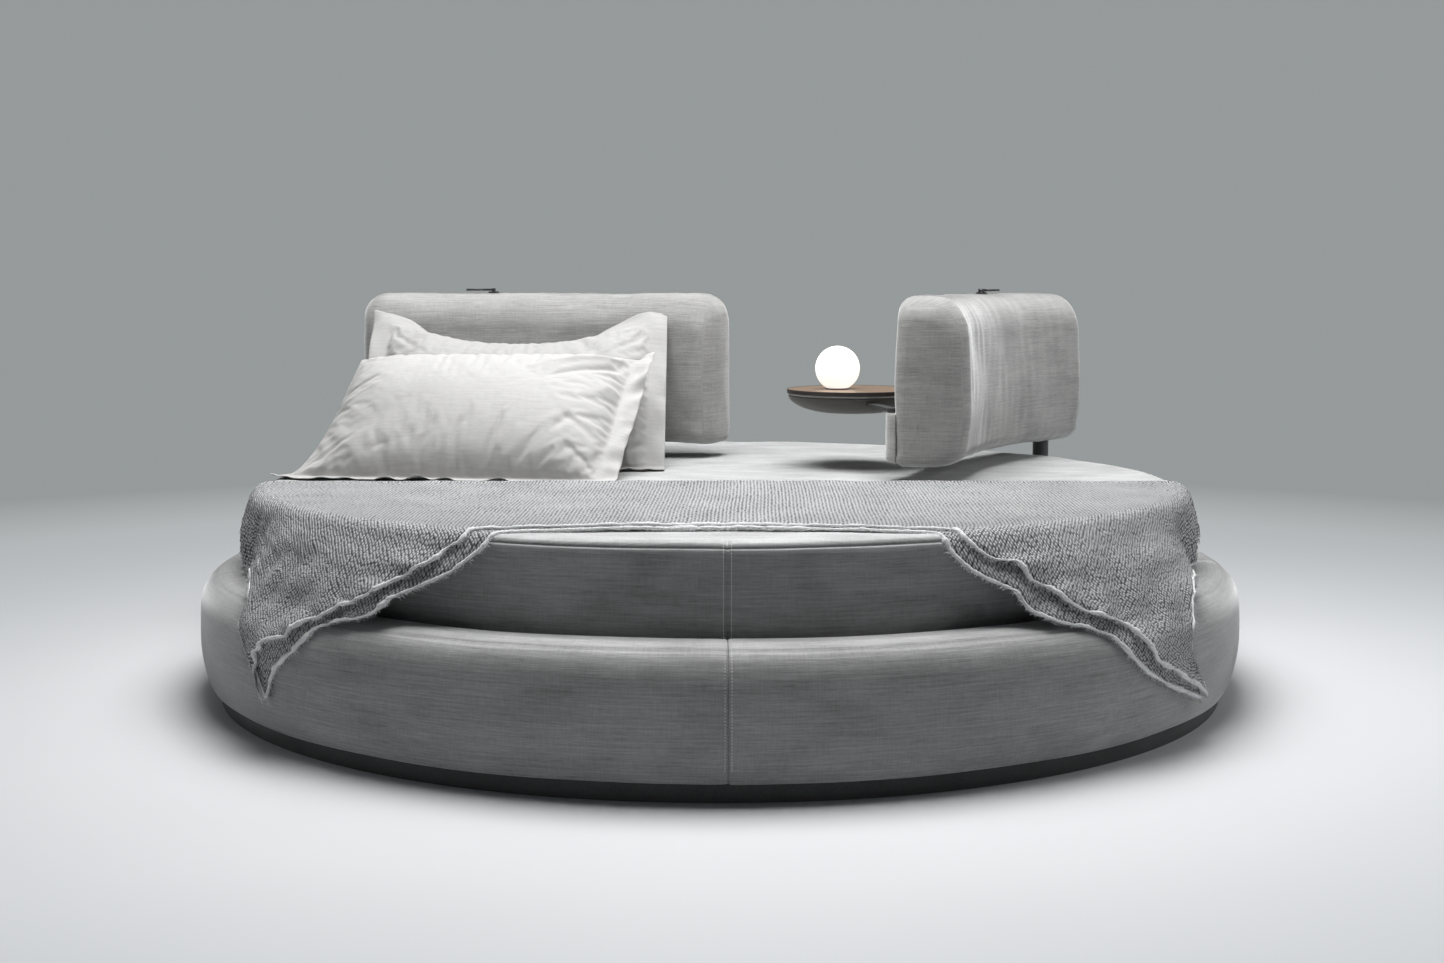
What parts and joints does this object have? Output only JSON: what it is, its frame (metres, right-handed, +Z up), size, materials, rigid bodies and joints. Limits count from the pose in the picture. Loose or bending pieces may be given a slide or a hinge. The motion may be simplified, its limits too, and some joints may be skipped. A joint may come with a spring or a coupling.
{
  "type": "round bed",
  "caption": "Round upholstered platform bed with a sunk mattress, swivelling curved backrests, a swinging side tray with a globe lamp, folding reading lights, pillows and a folded throw.",
  "frame": {"origin": "centre of the ring on the floor", "axes": "+Z up, -Y towards the foot of the bed, +X to the right of someone who stands at the foot"},
  "size_m": [2.6014, 2.6012, 0.9843],
  "materials": {
    "plinth": "matte black",
    "plywood": "raw plywood",
    "timber": "planed softwood",
    "bed_fabric": "grey chenille velvet with fine striations",
    "mattress_fabric": "grey chenille velvet with fine striations",
    "foam": "foam core",
    "throw_fabric": "coarse grey weave with a short raw fringe",
    "pillow_fabric": "off-white washed linen",
    "steel": "satin black powder coat",
    "zinc": "zinc plated",
    "bush_plastic": "natural acetal",
    "light_metal": "satin black",
    "lens": "milky",
    "tray_wood": "dark bronze-brown stained",
    "tray_metal": "dark bronze",
    "piping": "pale grey cord",
    "globe": "opal",
    "led": "warm white light source"
  },
  "bodies": {
    "bed": {"beam_brackets": "steel", "bushes_left": "bush_plastic", "bushes_right": "bush_plastic", "centre_beam_left": "timber", "centre_beam_right": "timber", "escutcheon_left": "steel", "escutcheon_right": "steel", "joining_bolts": "zinc", "levelling_feet": "plinth", "mattress_core": "foam", "mattress_cover": "mattress_fabric", "mid_rail_left": "timber", "mid_rail_right": "timber", "pillow_front": "pillow_fabric", "pillow_rear": "pillow_fabric", "plinth_left": "plinth", "plinth_right": "plinth", "ring_cover_left": "bed_fabric", "ring_cover_right": "bed_fabric", "ring_frame_left": "plywood", "ring_frame_right": "plywood", "slats_left": "timber", "slats_right": "timber", "socket_bolts": "zinc", "socket_left": "steel", "socket_right": "steel", "support_legs": "timber", "throw": "throw_fabric"},
    "left_backrest": {"left_cushion": "bed_fabric", "left_light_base": "light_metal", "left_light_bracket": "zinc", "left_panel": "plywood", "left_post": "steel", "left_rest_bolts": "zinc", "left_sleeve": "steel"},
    "left_light_swivel": {"left_light_turret": "light_metal"},
    "left_light": {"left_light_head": "light_metal", "left_light_lens": "lens"},
    "right_backrest": {"right_cushion": "bed_fabric", "right_light_base": "light_metal", "right_light_bracket": "zinc", "right_panel": "plywood", "right_post": "steel", "right_rest_bolts": "zinc", "right_sleeve": "steel", "console_bracket": "steel", "console_pad": "bed_fabric"},
    "right_light_swivel": {"right_light_turret": "light_metal"},
    "right_light": {"right_light_head": "light_metal", "right_light_lens": "lens"},
    "tray": {"lamp_base": "tray_metal", "lamp_globe": "globe", "lamp_led": "led", "tray_arm": "steel", "tray_band": "tray_metal", "tray_board": "tray_wood", "tray_pad": "bed_fabric", "tray_piping": "piping"}
  },
  "joints": [
    {"name": "left_backrest_turn", "type": "hinge", "parent": "bed", "child": "left_backrest", "pos_m": [-0.95211, 0.77238, 0.2803], "axis": [0, 0, 1], "range_deg": [0, 37]},
    {"name": "right_backrest_turn", "type": "hinge", "parent": "bed", "child": "right_backrest", "pos_m": [0.95211, 0.77238, 0.2803], "axis": [0, 0, 1], "range_deg": [-34, 45]},
    {"name": "tray_swing", "type": "hinge", "parent": "right_backrest", "child": "tray", "pos_m": [0.44244, 0.00461, 0.6766], "axis": [0, 0, 1], "range_deg": [0, 75]},
    {"name": "left_light_turn", "type": "hinge", "parent": "left_backrest", "child": "left_light_swivel", "pos_m": [-0.67597, 0.83257, 0.9713], "axis": [0, 0, 1], "range_deg": [-90, 90]},
    {"name": "left_light_tilt", "type": "hinge", "parent": "left_light_swivel", "child": "left_light", "pos_m": [-0.67597, 0.83257, 0.9803], "axis": [0.0354, 0.9994, 0], "range_deg": [0, 110]},
    {"name": "right_light_turn", "type": "hinge", "parent": "right_backrest", "child": "right_light_swivel", "pos_m": [0.74408, 0.58107, 0.9713], "axis": [0, 0, 1], "range_deg": [-90, 90]},
    {"name": "right_light_tilt", "type": "hinge", "parent": "right_light_swivel", "child": "right_light", "pos_m": [0.74408, 0.58107, 0.9803], "axis": [0.838, -0.5457, 0], "range_deg": [0, 110]}
  ]
}
